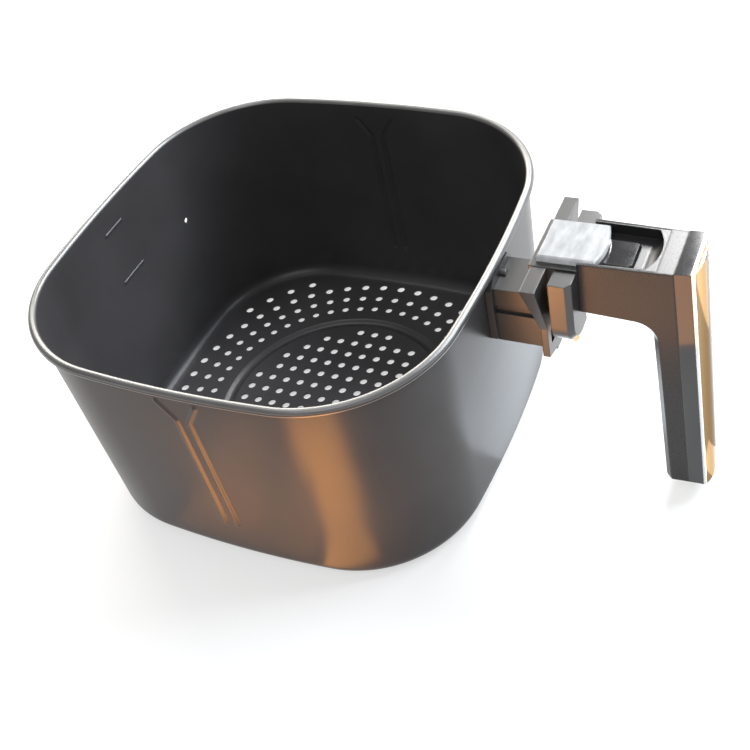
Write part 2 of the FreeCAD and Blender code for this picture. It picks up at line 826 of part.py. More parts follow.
def make_well():
    """Insert in the arm's tub that the button comes up through."""
    end_y = root_y - tub_len
    block = wide_box(arm_half, root_y, end_y - well_wall + fit_gap, well_low_z, arm_top_z - fit_gap)
    tray = block.common(whole_wedge(tub_wall - well_wall + fit_gap))
    tray = tray.cut(tub_tool(tub_wall, tub_floor_z, end_y))
    y0 = root_y - button_start - button_len - button_gap
    y1 = root_y - button_start + button_gap
    return tray.cut(button_plan(button_half + button_gap, y0, y1, button_corner_r + button_gap,
                                well_low_z - over, tub_floor_z + over)).removeSplitter()


def make_button():
    """Release button: cap, retaining lip under the well's floor, and push rod."""
    y0 = root_y - button_start - button_len
    y1 = root_y - button_start
    lip_top = well_low_z - button_gap
    lip_low = lip_top - button_lip_t
    cap = button_plan(button_half, y0, y1, button_corner_r, lip_low, button_top_z)
    cap = cap.makeChamfer(button_bevel, edges_where(cap, lambda p: near(p.z, button_top_z)))
    lip_front = y0 - button_lip
    lip = button_plan(button_half + button_lip, lip_front, y1, button_corner_r, lip_low, lip_top)
    rod_low = lever_top_z + lever_gap
    rod = Part.makeCylinder(button_rod_r, lip_low - rod_low, V(0, rod_y, rod_low))
    return cap.multiFuse([lip, rod]).removeSplitter()


def make_lever():
    """Latch lever: hub, hooked leg below, and the arm under the button."""
    leg_y = pivot_y + hook_back
    leg_in = leg_y - lever_t
    toe_y = leg_in - hook_toe
    leg = side_prism(
        (leg_y, pivot_z),
        [((leg_y, hook_low_z + lever_t / 2),), ((leg_in, hook_low_z),), ((toe_y, hook_catch_z - lever_t),),
         ((toe_y, hook_catch_z),), ((leg_in, hook_catch_z),), ((leg_in, pivot_z),), ((leg_y, pivot_z),)],
        leg_half)
    tip_y = rod_y - button_rod_r * 2
    low_z = lever_top_z - lever_arm_t
    step_y = root_y - arm_end_wall - lever_t
    high_web = pivot_z + lever_web
    low_web = pivot_z - lever_web
    arm = side_prism(
        (pivot_y, high_web),
        [((step_y, high_web),), ((step_y - lever_t, lever_top_z),), ((tip_y, lever_top_z),),
         ((tip_y, low_z),), ((step_y - lever_t * 2, low_z),), ((step_y - lever_t, low_web),),
         ((pivot_y, low_web),), ((pivot_y, high_web),)],
        lever_arm_half)
    hub = rod_x(hub_r, lever_half, pivot_y, pivot_z)
    lever = hub.multiFuse([leg, arm])
    return lever.cut(rod_x(pivot_r + pin_gap, lever_half, pivot_y, pivot_z)).removeSplitter()


def make_pin():
    return rod_x(pivot_r, pivot_half, pivot_y, pivot_z)


def make_spring():
    """Coil spring that lifts the lever, bent from short straight runs."""
    y = pivot_y - spring_back
    low = arm_cavity_low_z + spring_wire_r + fit_gap
    high = lever_top_z - lever_arm_t - spring_wire_r - fit_gap
    count = spring_turns * spring_steps

    def at(step):
        angle = 2 * math.pi * step / spring_steps
        rise = (high - low) * step / count
        return V(spring_r * math.cos(angle), y + spring_r * math.sin(angle), low + rise)

    path = Part.makePolygon([at(k) for k in range(count + 1)])
    along = at(1) - at(0)
    across = along.cross(V(0, 0, 1)).normalize()
    upward = across.cross(along).normalize()
    corners = []
    for k in range(wire_sides + 1):
        angle = 2 * math.pi * k / wire_sides
        turned = across * math.cos(angle) + upward * math.sin(angle)
        corners.append(at(0) + turned * spring_wire_r)
    return path.makePipeShell([Part.makePolygon(corners)], True, False, 1)


def guard_low_z():
    return track_top_z + guard_gap


def make_guard():
    """Clear guard with a rounded front edge and the T foot that keeps it on its track."""
    back_y = track_back_y - guard_start
    front_y = back_y - guard_len
    plan = closed_face(
        lambda x, y: V(x, y, guard_low_z()),
        (-guard_half, back_y),
        [((guard_half, back_y),), ((guard_half, front_y + guard_bow),),
         ((0.0, front_y), (-guard_half, front_y + guard_bow)), ((-guard_half, back_y),)])
    slab = plan.extrude(V(0, 0, arm_top_z - guard_low_z()))
    slab = slab.makeChamfer(guard_bevel, edges_where(slab, lambda p: near(p.z, arm_top_z)))
    tee_back = track_back_y - track_end_wall - tee_gap
    neck = wide_box(tee_neck_half, tee_back - tee_len, tee_back, guard_low_z() - tee_neck_h, guard_low_z())
    foot = wide_box(tee_foot_half, tee_back - tee_len, tee_back,
                    guard_low_z() - tee_neck_h - tee_foot_t, guard_low_z() - tee_neck_h)
    return slab.multiFuse([neck, foot]).removeSplitter()


def grip_height():
    """The grip's front height along its lean."""
    return (arm_top_z - grip_low_z) / math.cos(lean)


def make_band():
    """Gloss band between the grip's rear shell and the bezel."""
    slab = grip_frame(wide_box(arm_half, -band_t, 0, -grip_height(), band_rise))
    band = low_end(slab.common(whole_wedge(0.0)))
    for tool in grip_screw_tools(fit_gap, True):
        band = band.cut(tool)
    return band.removeSplitter()


def inlay_block(grow):
    """The panel's outline as a thick block, with a curved lower end."""
    half = arm_half
    top = band_rise - inlay_end_gap + grow
    low = -grip_height() + inlay_end_gap - grow
    block = front_prism(
        (-half, top),
        [((half, top),), ((half, low + inlay_tail),), ((0.0, low), (-half, low + inlay_tail)),
         ((-half, top),)],
        -band_t - inlay_crown, -band_t)
    return grip_frame(block).common(whole_wedge(bezel_inset + bezel_w - grow))


def make_inlay():
    """Crowned front panel of the grip."""
    axis_y = inlay_crown_r - band_t - inlay_crown
    crown_low = -grip_height() - handle_room
    crown = Part.makeCylinder(inlay_crown_r, 2 * handle_room - crown_low, V(0, axis_y, crown_low))
    return inlay_block(0.0).common(grip_frame(crown)).removeSplitter()


def make_bezel():
    """Bright frame round the front panel."""
    slab = grip_frame(wide_box(arm_half, -band_t - bezel_t, -band_t, -grip_height(), band_rise))
    bezel = low_end(slab.common(whole_wedge(bezel_inset)))
    return bezel.cut(inlay_block(fit_gap)).removeSplitter()


def grip_screws():
    return Part.makeCompound(grip_screw_tools(0.0, False))


nodes = {
    "basket_wall": make_wall(),
    "basket_floor": make_floor(),
    "bracket_rivets": make_rivets(),
    "wall_plate": make_wall_plate(),
    "handle_bracket": make_bracket(),
    "handle_base": make_base(),
    "base_screws": Part.makeCompound(base_screw_tools(0.0)),
    "slide_track": make_track(),
    "guard_cover": make_guard(),
    "handle_shell": make_shell(),
    "arm_screws": Part.makeCompound(arm_screw_tools(0.0)),
    "button_well": make_well(),
    "release_button": make_button(),
    "latch_lever": make_lever(),
    "latch_pin": make_pin(),
    "latch_spring": make_spring(),
    "grip_band": make_band(),
    "grip_bezel": make_bezel(),
    "grip_inlay": make_inlay(),
    "grip_screws": grip_screws(),
}

os.makedirs("parts", exist_ok=True)
for name, shape in nodes.items():
    print(name, len(shape.Solids), "solids", round(shape.Volume), "mm3", "valid", shape.isValid())
    shape.exportStep("parts/" + name + ".step")
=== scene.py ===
import json
import math

import bpy
from mathutils import Matrix, Vector


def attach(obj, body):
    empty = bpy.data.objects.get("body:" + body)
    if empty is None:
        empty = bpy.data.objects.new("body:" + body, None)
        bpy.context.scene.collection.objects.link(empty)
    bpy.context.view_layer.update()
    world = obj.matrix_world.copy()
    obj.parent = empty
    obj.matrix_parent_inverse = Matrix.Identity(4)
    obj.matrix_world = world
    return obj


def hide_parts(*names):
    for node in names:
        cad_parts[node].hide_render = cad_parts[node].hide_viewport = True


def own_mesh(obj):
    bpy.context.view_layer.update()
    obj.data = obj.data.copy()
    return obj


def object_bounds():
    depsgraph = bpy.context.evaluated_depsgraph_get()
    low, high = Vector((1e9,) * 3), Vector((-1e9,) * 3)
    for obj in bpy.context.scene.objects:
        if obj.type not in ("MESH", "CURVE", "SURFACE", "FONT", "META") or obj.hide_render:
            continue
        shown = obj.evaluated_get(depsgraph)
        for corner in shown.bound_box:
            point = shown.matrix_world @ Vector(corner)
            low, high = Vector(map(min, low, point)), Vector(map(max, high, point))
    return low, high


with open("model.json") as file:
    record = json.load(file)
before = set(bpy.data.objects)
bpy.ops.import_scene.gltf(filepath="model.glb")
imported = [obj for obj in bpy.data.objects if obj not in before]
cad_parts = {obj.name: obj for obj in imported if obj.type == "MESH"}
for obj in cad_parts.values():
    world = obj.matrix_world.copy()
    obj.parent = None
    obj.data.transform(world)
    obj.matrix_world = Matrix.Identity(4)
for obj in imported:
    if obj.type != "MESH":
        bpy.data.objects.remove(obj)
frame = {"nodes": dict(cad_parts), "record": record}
cad_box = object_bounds()
nodes = frame["nodes"]
MM = 0.001

# Sizes of the drawn basket in millimetres, the same as in the CAD source
RIM_HALF = 115.0
CORNER_R = 69.0
SIDE_R = 650.0
BASKET_H = 130.0
SHEET = 1.0
BEAD_R = 2.2
WALL_DRAFT = 1.8
BEND_R = 8.0
FLOOR_Z = 1.5
FOOT_R = 66.0
FOOT_HALF = 3.5

# Floor holes in millimetres: a square grid inside the foot ring, rings outside it, a row in each corner.
# RING_HOLES holds each ring's radius and the width of its holes.
GRID_PITCH = 9.44
GRID_REACH = 58.0
GRID_HOLE = 4.5
RING_HOLES = ((78.7, 4.2), (88.2, 4.5), (98.4, 4.8))
RING_COUNT = 52
CORNER_ROW_R = 108.6
CORNER_ROW_HOLE = 4.8
CORNER_ROW_COUNT = 4
CORNER_ROW_STEP_DEG = 7.7

# Pressed ribs: one of a mirrored pair as places along and up the wall, in millimetres.
# A crown below 1 makes a pressed form's top broader than a cosine's.
RIB_PATH = ((3.4, 28.7), (3.4, 108.3), (10.5, 119.5))
RIB_HALF = 1.9
RIB_PROUD = 0.9
RIB_CROWN = 0.8
FOOT_CROWN = 0.7

# Fill marks on the back wall, as height and half length, and the small hole beside them, in millimetres
FILL_MARKS = ((114.6, 8.4), (82.8, 10.4))
MARK_HALF = 0.9
MARK_END = 1.0
MARK_PROUD = 0.6
MARK_SUNK = 0.1
VENT_X = 53.0
VENT_Z = 78.5
VENT_R = 1.5
VENT_TOOL_Y = (104.0, 120.0)

# The rim's glossier coat, whose lighter colour is a painted highlight on the bead: how many bead radii it
# reaches down, and the least tilt of a face that has it
RIM_REACH = 2.4
RIM_TILT = 0.25

# How finely the scene's own sheets are divided, in millimetres and counts.
# WALL_ROWS holds heights as from, to and step, close together at the ends of the ribs.
RIB_ZONE = 13.0
RIB_STEP = 0.4
RIBBED_SIDE_STEP = 3.0
PLAIN_STEP = 2.4
WALL_ROWS = ((13.0, 26.0, 4.0), (26.0, 32.0, 0.8), (32.0, 103.0, 8.0), (103.0, 123.0, 0.8))
BEND_STEPS = 12
BEAD_STEPS = 22
HOLE_SIDES = 20
VENT_SIDES = 24
RING_SIDES = 144
FOOT_STEPS = 14
MARK_STEPS = 40
MARK_ROWS = 8
SMOOTH_DEG = 40.0

# Shader settings that all the finishes share
CLOUD_DETAIL = 4.0
GRAIN_DETAIL = 3.0
TINT_STOPS = (0.3, 0.7)
LEAST_ROUGH = 0.02
BEVEL_SAMPLES = 4

# Stage and camera, in metres and degrees
GROUND_HALF = 12.0
GROUND_CLOUD = 3.0
GROUND_DETAIL = 2.0
GROUND_DROP = 0.0003
GROUND_GREYS = (0.46, 0.49)
GROUND_GLOW = 0.55
WORLD_LEVEL = 0.38
CARD_Z = 0.001
LENS_MM = 52.93
SENSOR_MM = 36.0
CAMERA_PLACE = (-0.35464, -0.27650, 0.45415)
CAMERA_TURN_DEG = (44.61, 10.79, -66.12)

# Colours of the lights
WHITE = (1.0, 1.0, 1.0)
CREAM = (1.0, 0.96, 0.88)
PALE = (1.0, 0.95, 0.9)
WARM = (1.0, 0.39, 0.08)
COOL = (0.80, 0.90, 1.0)
DAYLIGHT = (0.84, 0.92, 1.0)


# Materials

def new_material(name):
    mat = bpy.data.materials.new(name)
    mat.use_nodes = True
    tree = mat.node_tree
    return mat, tree.nodes, tree.links, tree.nodes["Principled BSDF"]


def noise_texture(shaders, scale, detail):
    noise = shaders.new("ShaderNodeTexNoise")
    noise.inputs["Scale"].default_value = scale
    noise.inputs["Detail"].default_value = detail
    return noise


def finish_material(name, color, rough, metallic=0.0, grain=900.0, rough_swing=0.08, bump=0.05,
                    bump_depth=0.00005, color_swing=0.12, cloud=35.0, round_edge=0.0004, specular=0.5,
                    coat=0.0, coat_rough=0.1, transmission=0.0, ior=1.5, edge=WHITE,
                    stretch=(1.0, 1.0, 1.0)):
    """A moulded, coated or plated finish: cloudy colour, fine grain in gloss and bump, eased edges."""
    mat, shaders, links, bsdf = new_material(name)
    coord = shaders.new("ShaderNodeTexCoord")
    clouds = noise_texture(shaders, cloud, CLOUD_DETAIL)
    drawn = shaders.new("ShaderNodeMapping")
    drawn.inputs["Scale"].default_value = stretch
    links.new(coord.outputs["Object"], drawn.inputs["Vector"])
    links.new(drawn.outputs["Vector"], clouds.inputs["Vector"])
    tint = shaders.new("ShaderNodeValToRGB")
    dark, light = tint.color_ramp.elements
    dark.position = TINT_STOPS[0]
    dark.color = (*[c * (1.0 - color_swing) for c in color], 1.0)
    light.position = TINT_STOPS[1]
    light.color = (*[min(1.0, c * (1.0 + color_swing)) for c in color], 1.0)
    links.new(clouds.outputs["Fac"], tint.inputs["Fac"])
    links.new(tint.outputs["Color"], bsdf.inputs["Base Color"])
    fine = noise_texture(shaders, grain, GRAIN_DETAIL)
    links.new(coord.outputs["Object"], fine.inputs["Vector"])
    gloss = shaders.new("ShaderNodeMapRange")
    gloss.inputs["To Min"].default_value = max(LEAST_ROUGH, rough - rough_swing)
    gloss.inputs["To Max"].default_value = min(1.0, rough + rough_swing)
    links.new(fine.outputs["Fac"], gloss.inputs["Value"])
    links.new(gloss.outputs["Result"], bsdf.inputs["Roughness"])
    relief = shaders.new("ShaderNodeBump")
    relief.inputs["Strength"].default_value = bump
    relief.inputs["Distance"].default_value = bump_depth
    links.new(fine.outputs["Fac"], relief.inputs["Height"])
    if round_edge:
        eased = shaders.new("ShaderNodeBevel")
        eased.samples = BEVEL_SAMPLES
        eased.inputs["Radius"].default_value = round_edge
        links.new(eased.outputs["Normal"], relief.inputs["Normal"])
    links.new(relief.outputs["Normal"], bsdf.inputs["Normal"])
    bsdf.inputs["Metallic"].default_value = metallic
    bsdf.inputs["Specular IOR Level"].default_value = specular
    bsdf.inputs["Coat Weight"].default_value = coat
    bsdf.inputs["Coat Roughness"].default_value = coat_rough
    bsdf.inputs["Transmission Weight"].default_value = transmission
    bsdf.inputs["IOR"].default_value = ior
    bsdf.inputs["Specular Tint"].default_value = (*edge, 1.0)
    return mat


nonstick = finish_material("nonstick_coat", (0.044, 0.042, 0.044), 0.33, grain=1800.0, rough_swing=0.07,
                           bump=0.12, bump_depth=0.00004, color_swing=0.22, cloud=14.0, round_edge=0.0,
                           specular=0.25)
# The rim's coat: a real higher gloss, and a colour lighter than the nonstick that is a painted highlight on
# the bead
rim_highlight_mat = finish_material("nonstick_rim_painted_highlight", (0.07, 0.068, 0.066), 0.40, grain=1500.0, rough_swing=0.06,
                          bump=0.05, color_swing=0.25, cloud=60.0, round_edge=0.0, specular=1.0,
                          coat=0.6, coat_rough=0.3)
rivet_mat = finish_material("coated_rivet", (0.10, 0.10, 0.105), 0.33, metallic=0.6, round_edge=0.0006)
plate_mat = finish_material("plate_steel", (0.03, 0.03, 0.032), 0.42)
bracket_mat = finish_material("bracket_plastic", (0.030, 0.029, 0.029), 0.29, grain=700.0, rough_swing=0.03,
                              bump=0.03, round_edge=0.0007, specular=0.6)
shell_mat = finish_material("shell_plastic", (0.024, 0.023, 0.023), 0.28, grain=1400.0, rough_swing=0.03,
                            bump=0.04, round_edge=0.0012, specular=0.32)
screw_mat = finish_material("screw_steel", (0.50, 0.50, 0.51), 0.3, metallic=1.0)
clear_mat = finish_material("clear_plastic", (0.69, 0.70, 0.71), 0.16, rough_swing=0.10, grain=260.0,
                            bump=0.06, bump_depth=0.0001, color_swing=0.20, cloud=260.0,
                            transmission=0.6, ior=1.47, round_edge=0.0006, stretch=(0.35, 1.0, 1.0))
satin_mat = finish_material("satin_black", (0.014, 0.014, 0.015), 0.32, bump=0.1, round_edge=0.0005)
gloss_mat = finish_material("gloss_black", (0.010, 0.010, 0.011), 0.09, rough_swing=0.03, grain=300.0,
                            bump=0.02, round_edge=0.0005, coat=0.4, coat_rough=0.04)
zinc_mat = finish_material("yellow_zinc", (0.60, 0.52, 0.36), 0.34, metallic=1.0, color_swing=0.2,
                           cloud=120.0)
chrome_mat = finish_material("bright_trim", (0.66, 0.67, 0.68), 0.10, metallic=1.0, rough_swing=0.03)
panel_mat = finish_material("polished_panel", (0.42, 0.31, 0.20), 0.12, metallic=1.0, rough_swing=0.04,
                            cloud=25.0, color_swing=0.05, edge=(0.36, 0.32, 0.28))

by_slot = {
    "nonstick_coat": nonstick, "coated_rivet": rivet_mat, "plate_steel": plate_mat,
    "bracket_plastic": bracket_mat, "shell_plastic": shell_mat, "screw_steel": screw_mat,
    "clear_plastic": clear_mat, "gloss_black": gloss_mat, "yellow_zinc": zinc_mat,
    "bright_trim": chrome_mat, "polished_panel": panel_mat,
}
for part in frame["record"]["subparts"]:
    mesh = nodes[part["node"]].data
    mesh.materials.clear()
    mesh.materials.append(by_slot[part["material_slot"]])
nodes["button_well"].data.materials[0] = satin_mat


# Meshes and pieces

def steps(a, b, size):
    """Places from a up to b, without b, about the given size apart."""
    count = max(1, round((b - a) / size))
    return [a + (b - a) * k / count for k in range(count)]


def circle(radius, sides, x=0.0, y=0.0):
    turns = [2 * math.pi * k / sides for k in range(sides)]
    return [(x + radius * math.cos(turn), y + radius * math.sin(turn)) for turn in turns]


def arc(centre, radius, begin, end, count):
    turns = [begin + (end - begin) * k / count for k in range(count + 1)]
    return [(centre[0] + radius * math.cos(turn), centre[1] + radius * math.sin(turn)) for turn in turns]


def grid_mesh(name, rows, closed):
    """A mesh from rows of points in millimetres, joined to a surface."""
    verts = [(x * MM, y * MM, z * MM) for row in rows for x, y, z in row]
    width = len(rows[0])
    faces = []
    for i in range(len(rows) - 1):
        for j in range(width if closed else width - 1):
            k = (j + 1) % width
            faces.append((i * width + j, i * width + k, (i + 1) * width + k, (i + 1) * width + j))
    mesh = bpy.data.meshes.new(name)
    mesh.from_pydata(verts, [], faces)
    mesh.validate()
    return mesh


def add_object(name, data):
    obj = bpy.data.objects.new(name, data)
    bpy.context.scene.collection.objects.link(obj)
    return obj


def final_mesh(obj):
    """The object's mesh as its modifiers or curve settings make it."""
    bpy.context.view_layer.update()
    graph = bpy.context.evaluated_depsgraph_get()
    return bpy.data.meshes.new_from_object(obj.evaluated_get(graph))


def add_piece(name, mesh, mat, body, slot, *replaced):
    mesh.materials.clear()
    mesh.materials.append(mat)
    mesh.shade_smooth()
    mesh.set_sharp_from_angle(angle=math.radians(SMOOTH_DEG))
    obj = add_object(name, mesh)
    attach(obj, body)
    if replaced:
        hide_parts(*replaced)
    return obj


# Drawn basket: wall with round bend and bead, pressed ribs

def outline_arcs():
    """The rim's bowed sides and corners: centre, radius, first angle, sweep, and whether it has ribs."""
    pull = SIDE_R - RIM_HALF
    reach = SIDE_R - CORNER_R
    corner = (math.sqrt(2 * reach * reach - pull * pull) - pull) / 2
    half_side = math.atan2(corner, corner + pull)
    arcs = []
    for quarter in range(4):
        turn = math.pi / 2 * quarter
        out_x = math.cos(turn)
        out_y = math.sin(turn)
        ribbed = quarter % 2 == 0
        arcs.append((-pull * out_x, -pull * out_y, SIDE_R, turn - half_side, 2 * half_side, ribbed))
        arcs.append((corner * (out_x - out_y), corner * (out_y + out_x), CORNER_R, turn + half_side,
                     math.pi / 2 - 2 * half_side, False))
    return arcs


def outline_points():
    """Points round the rim's outline with their outward directions, closer together at the ribs."""
    points = []
    for centre_x, centre_y, radius, begin, sweep, ribbed in outline_arcs():
        span = radius * sweep
        along = steps(0, span, PLAIN_STEP)
        if ribbed:
            first = span / 2 - RIB_ZONE
            last = span / 2 + RIB_ZONE
            along = steps(0, first, RIBBED_SIDE_STEP) + steps(first, last, RIB_STEP)
            along += steps(last, span, RIBBED_SIDE_STEP)
        for length in along:
            out_x = math.cos(begin + length / radius)
            out_y = math.sin(begin + length / radius)
            points.append((centre_x + radius * out_x, centre_y + radius * out_y, out_x, out_y))
    return points


def wall_lines():
    """Bead centre, lean of the wall and bend centre, as offset from the rim's outline and height."""
    bead = (-BEAD_R, BASKET_H - BEAD_R)
    bend_z = FLOOR_Z + BEND_R
    draft = math.atan2(WALL_DRAFT, bead[1] - bend_z)
    inset = BEAD_R - SHEET + BEND_R
    bend_offset = bead[0] + ((bend_z - bead[1]) * math.sin(draft) - inset) / math.cos(draft)
    return bead, draft, (bend_offset, bend_z)


def point_at(a, b, z):
    """The place at height z on the line from a to b."""
    share = (z - a[1]) / (b[1] - a[1])
    return a[0] + (b[0] - a[0]) * share, z


def rim_arc(bead, draft):
    """The rolled rim, with its outer side drawn in to the width of the CAD's faceted bead."""
    inner = math.pi - draft
    chord = math.acos((BEAD_R - SHEET) / BEAD_R)
    squeeze = (cad_box[1][0] / MM - RIM_HALF - bead[0]) / BEAD_R
    rim = arc(bead, BEAD_R, inner + chord - 2 * math.pi, inner, BEAD_STEPS)
    pressed = []
    for offset, z in rim:
        out = offset - bead[0]
        pressed.append((bead[0] + max(0.0, out) * squeeze + min(0.0, out), z))
    return pressed


def wall_section():
    """Offset and height of each row of the wall, from under the bend, over the rim, to the floor inside."""
    bead, draft, bend = wall_lines()
    outer_bend = arc(bend, BEND_R, -math.pi / 2, -draft, BEND_STEPS)
    rim = rim_arc(bead, draft)
    inner_bend = arc(bend, BEND_R - SHEET, -draft, -math.pi / 2, BEND_STEPS)
    heights = [z for low, high, size in WALL_ROWS for z in steps(low, high, size)]
    rows = list(outer_bend)
    rows += [point_at(outer_bend[-1], rim[0], z) for z in heights]
    rows += rim
    rows += [point_at(rim[-1], inner_bend[0], z) for z in reversed(heights)]
    rows += inner_bend
    return rows


def rib_lift(y, z):
    """How far the sheet is pressed out at a place on the left or right wall."""
    best = math.inf
    for hand in (1, -1):
        path = [(hand * along, up) for along, up in RIB_PATH]
        for (ay, az), (by, bz) in zip(path, path[1:]):
            run = by - ay
            rise = bz - az
            share = ((y - ay) * run + (z - az) * rise) / (run * run + rise * rise)
            share = max(0.0, min(1.0, share))
            best = min(best, math.hypot(y - ay - share * run, z - az - share * rise))
    if best >= RIB_HALF:
        return 0.0
    return RIB_PROUD * (0.5 + 0.5 * math.cos(math.pi * best / RIB_HALF)) ** RIB_CROWN


def wall_rows():
    outline = outline_points()
    rows = []
    for offset, z in wall_section():
        row = []
        for x, y, out_x, out_y in outline:
            out = offset
            if abs(y) < RIB_ZONE:
                out += rib_lift(y, z)
            row.append((x + out_x * out, y + out_y * out, z))
        rows.append(row)
    return rows


def vent_tool():
    """A round bar through the back wall where the small hole is."""
    ring = circle(VENT_R, VENT_SIDES, VENT_X, VENT_Z)
    verts = [(x * MM, y * MM, z * MM) for y in VENT_TOOL_Y for x, z in ring]
    near_end = range(VENT_SIDES)
    far_end = range(VENT_SIDES, 2 * VENT_SIDES)
    faces = []
    for k in near_end:
        after = (k + 1) % VENT_SIDES
        faces.append((k, after, VENT_SIDES + after, VENT_SIDES + k))
    faces += [tuple(reversed(near_end)), tuple(far_end)]
    mesh = bpy.data.meshes.new("vent_tool")
    mesh.from_pydata(verts, [], faces)
    return mesh


def drill(mesh, tool):
    """The sheet with the tool's shape cut through it."""
    body = add_object("drilled", mesh)
    bit = add_object("bit", tool)
    cut = body.modifiers.new("cut", "BOOLEAN")
    cut.operation = "DIFFERENCE"
    cut.solver = "FAST"
    cut.object = bit
    done = final_mesh(body)
    bpy.data.objects.remove(body)
    bpy.data.objects.remove(bit)
    return done


def fill_mark(z, half):
    """A raised line on the back wall's inner face, with rounded ends and a crowned top."""
    bead, draft, bend = wall_lines()
    rows = []
    for i in range(MARK_STEPS + 1):
        x = -half + 2 * half * i / MARK_STEPS
        end = min(1.0, (half - abs(x)) / MARK_END)
        width = MARK_HALF * math.sqrt(max(0.0, 1 - (1 - end) ** 2))
        row = []
        for j in range(MARK_ROWS + 1):
            across = -1 + 2 * j / MARK_ROWS
            up = z + across * width
            wall = bead[0] - (BEAD_R - SHEET) / math.cos(draft) + (up - bead[1]) * math.tan(draft)
            inner_y = RIM_HALF - x * x / (2 * SIDE_R) + wall - SHEET / math.cos(draft)
            crown = MARK_PROUD * math.sqrt(max(0.0, 1 - across * across)) * min(1.0, 2 * end)
            row.append((x, inner_y + MARK_SUNK - crown, up))
        rows.append(row)
    return grid_mesh("fill_mark", rows, False)


wall_mesh = drill(grid_mesh("wall_sheet", wall_rows(), True), vent_tool())
add_piece("wall_sheet", wall_mesh, nonstick, "basket", "nonstick_coat", "basket_wall")
# The bead's tilted faces take the rim coat, whose lighter colour is a painted highlight
wall_mesh.materials.append(rim_highlight_mat)
rim_highlight_low = (BASKET_H - RIM_REACH * BEAD_R) * MM
for face in wall_mesh.polygons:
    if face.center.z > rim_highlight_low and abs(face.normal.z) > RIM_TILT:
        face.material_index = 1

for number, (mark_z, mark_half) in enumerate(FILL_MARKS):
    add_piece("fill_mark_%d" % number, fill_mark(mark_z, mark_half), nonstick, "basket", "nonstick_coat")


# Perforated floor with round holes, and the foot ring pressed into it

def plate_mesh(name, loops):
    """A flat sheet between the first loop and the others, which are holes."""
    curve = bpy.data.curves.new(name, "CURVE")
    curve.dimensions = "2D"
    curve.fill_mode = "BOTH"
    curve.extrude = SHEET / 2 * MM
    for loop in loops:
        spline = curve.splines.new("POLY")
        spline.points.add(len(loop) - 1)
        for point, (x, y) in zip(spline.points, loop):
            point.co = (x * MM, y * MM, 0, 1)
        spline.use_cyclic_u = True
    obj = add_object(name, curve)
    mesh = final_mesh(obj)
    bpy.data.objects.remove(obj)
    mesh.transform(Matrix.Translation((0, 0, (FLOOR_Z + SHEET / 2) * MM)))
    return mesh


def band_holes():
    loops = []
    for radius, size in RING_HOLES:
        for x, y in circle(radius, RING_COUNT):
            loops.append(circle(size / 2, HOLE_SIDES, x, y))
    middle = (CORNER_ROW_COUNT - 1) / 2
    for corner_deg in (45, 135, 225, 315):
        for k in range(CORNER_ROW_COUNT):
            turn = math.radians(corner_deg + CORNER_ROW_STEP_DEG * (k - middle))
            x = CORNER_ROW_R * math.cos(turn)
            y = CORNER_ROW_R * math.sin(turn)
            loops.append(circle(CORNER_ROW_HOLE / 2, HOLE_SIDES, x, y))
    return loops


def grid_holes():
    loops = []
    count = int(GRID_REACH / GRID_PITCH)
    for i in range(-count, count + 1):
        for j in range(-count, count + 1):
            if math.hypot(i, j) * GRID_PITCH <= GRID_REACH:
                loops.append(circle(GRID_HOLE / 2, HOLE_SIDES, i * GRID_PITCH, j * GRID_PITCH))
    return loops


def foot_rows():
    """Section of the pressed ring, over the top and back under, carried round."""
    dip = []
    for k in range(FOOT_STEPS + 1):
        across = -1 + 2 * k / FOOT_STEPS
        depth = FLOOR_Z * (0.5 + 0.5 * math.cos(math.pi * across)) ** FOOT_CROWN
        dip.append((FOOT_R - across * FOOT_HALF, FLOOR_Z - depth))
    section = [(radius, z + SHEET) for radius, z in dip] + dip[::-1]
    return [[(x, y, z) for x, y in circle(radius, RING_SIDES)] for radius, z in section]


floor_offset = wall_lines()[2][0]
floor_edge = [(x + out_x * floor_offset, y + out_y * floor_offset)
              for x, y, out_x, out_y in outline_points()]
foot_outside = circle(FOOT_R + FOOT_HALF, RING_SIDES)
foot_inside = circle(FOOT_R - FOOT_HALF, RING_SIDES)
band = plate_mesh("floor_band", [floor_edge, foot_outside] + band_holes())
disc = plate_mesh("floor_disc", [foot_inside] + grid_holes())
add_piece("floor_band", band, nonstick, "basket", "nonstick_coat", "basket_floor")
add_piece("floor_disc", disc, nonstick, "basket", "nonstick_coat")
foot = grid_mesh("foot_ring", foot_rows(), True)
add_piece("foot_ring", foot, nonstick, "basket", "nonstick_coat")


# Lever spring, a copy of the CAD spring with a mesh of its own; the real spring shortens as the button goes
# down

spring_mesh = nodes["latch_spring"].data.copy()
spring = add_piece("lever_spring", spring_mesh, screw_mat, "basket", "screw_steel", "latch_spring")
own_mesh(spring)


# Stage: a pale floor, brighter to the camera and in reflections than as a source of light

def ground_material():
    mat, shaders, links, bsdf = new_material("ground_paper")
    noise = noise_texture(shaders, GROUND_CLOUD, GROUND_DETAIL)
    ramp = shaders.new("ShaderNodeValToRGB")
    for stop, grey in zip(ramp.color_ramp.elements, GROUND_GREYS):
        stop.color = (grey, grey, grey, 1)
    links.new(noise.outputs["Fac"], ramp.inputs["Fac"])
    links.new(ramp.outputs["Color"], bsdf.inputs["Base Color"])
    bsdf.inputs["Roughness"].default_value = 0.9
    bsdf.inputs["Specular IOR Level"].default_value = 0.1
    bsdf.inputs["Emission Color"].default_value = (*WHITE, 1)
    path = shaders.new("ShaderNodeLightPath")
    seen = path.outputs["Is Camera Ray"]
    for ray in ("Is Glossy Ray", "Is Transmission Ray"):
        either = shaders.new("ShaderNodeMath")
        either.operation = "MAXIMUM"
        links.new(seen, either.inputs[0])
        links.new(path.outputs[ray], either.inputs[1])
        seen = either.outputs["Value"]
    glow = shaders.new("ShaderNodeMath")
    glow.operation = "MULTIPLY"
    glow.inputs[1].default_value = GROUND_GLOW
    links.new(seen, glow.inputs[0])
    links.new(glow.outputs["Value"], bsdf.inputs["Emission Strength"])
    return mat


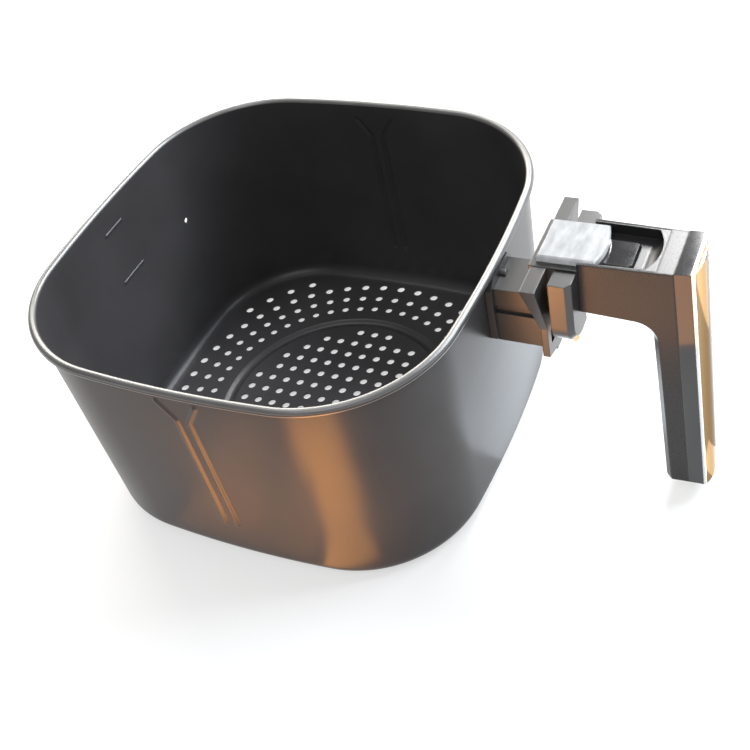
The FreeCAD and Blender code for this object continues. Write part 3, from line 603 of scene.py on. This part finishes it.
def make_ground():
    mesh = bpy.data.meshes.new("ground")
    corners = [(-1, -1), (1, -1), (1, 1), (-1, 1)]
    mesh.from_pydata([(x * GROUND_HALF, y * GROUND_HALF, 0) for x, y in corners], [], [(0, 1, 2, 3)])
    mesh.materials.append(ground_material())
    ground = add_object("ground", mesh)
    ground.location = (0, 0, -GROUND_DROP)


def make_world():
    world = bpy.data.worlds.new("studio")
    bpy.context.scene.world = world
    world.use_nodes = True
    background = world.node_tree.nodes["Background"]
    background.inputs["Color"].default_value = (*WHITE, 1)
    background.inputs["Strength"].default_value = WORLD_LEVEL


make_ground()
make_world()


# Light: soft lamps, and glows beside the basket that its sides mirror

def area_light(name, place, target, size, power, color=WHITE):
    light = bpy.data.lights.new(name, "AREA")
    light.shape = "RECTANGLE"
    light.size, light.size_y = size
    light.energy = power
    light.color = color
    obj = add_object(name, light)
    obj.location = place
    aim = Vector(target) - Vector(place)
    obj.rotation_euler = aim.to_track_quat("-Z", "Y").to_euler()
    obj.visible_camera = False
    return obj


def floor_card(name, x, y, size, power, color):
    """A glow at floor level that only what stands beside it mirrors."""
    card = area_light(name, (x, y, CARD_Z), (x, y, 1), size, power, color)
    card.rotation_euler = (math.pi, 0, 0)


def aimed_card(name, place, target, size, power, color, spread_deg):
    """A glow that shines, and is mirrored, only towards its target."""
    card = area_light(name, place, target, size, power, color)
    card.data.spread = math.radians(spread_deg)


# Lamps: name, place, target and size in metres, power in watts, colour
area_light("key_top", (0.15, 0.35, 1.5), (0, 0, 0.1), (0.6, 0.6), 5.0)
area_light("key_rim", (1.08, 0.87, 0.60), (0, 0, 0.12), (1.0, 1.0), 26.0, CREAM)
area_light("key_grip", (0.6, -0.155, 0.66), (0, -0.19, 0.14), (0.25, 0.25), 8.0)
area_light("soft", (-0.9, -0.3, 1.3), (0, 0, 0.05), (0.8, 0.8), 6.0)
area_light("window", (0.75, -0.95, 1.05), (0, 0.05, 0.02), (0.8, 0.8), 28.0, DAYLIGHT)

# Cards on the floor: name, x, y and size in metres, power in watts, colour
floor_card("warm_far", -0.2025, -0.065, (0.045, 0.094), 0.19, WARM)
floor_card("warm_middle", -0.1625, -0.068, (0.035, 0.060), 0.061, WARM)
floor_card("warm_near", -0.1285, -0.062, (0.033, 0.038), 0.021, WARM)
floor_card("warm_wide", -0.16, 0.008, (0.09, 0.085), 0.016, WARM)
floor_card("pale_panel", 0.14, -0.283, (0.06, 0.10), 0.05, PALE)
floor_card("pale_toe", 0.012, -0.222, (0.02, 0.02), 0.003, WHITE)
floor_card("cool_front", 0.035, -0.135, (0.10, 0.045), 0.024, COOL)

# Aimed cards: as a lamp, and the angle of the beam in degrees
aimed_card("warm_rib", (-0.154, 0.003, 0.030), (-0.112, 0.003, 0.0715), (0.026, 0.062), 0.006, WARM, 50)
aimed_card("warm_arm", (-0.1, -0.147, 0.04), (-0.01, -0.174, 0.128), (0.10, 0.05), 0.005, WARM, 60)


# Camera at the photograph's place

camera = bpy.data.cameras.new("camera")
camera.lens = LENS_MM
camera.sensor_width = SENSOR_MM
camera.clip_start = 0.01
camera_obj = add_object("camera", camera)
camera_obj.location = CAMERA_PLACE
camera_obj.rotation_euler = [math.radians(turn) for turn in CAMERA_TURN_DEG]
bpy.context.scene.camera = camera_obj
bpy.context.scene.view_settings.view_transform = "Standard"
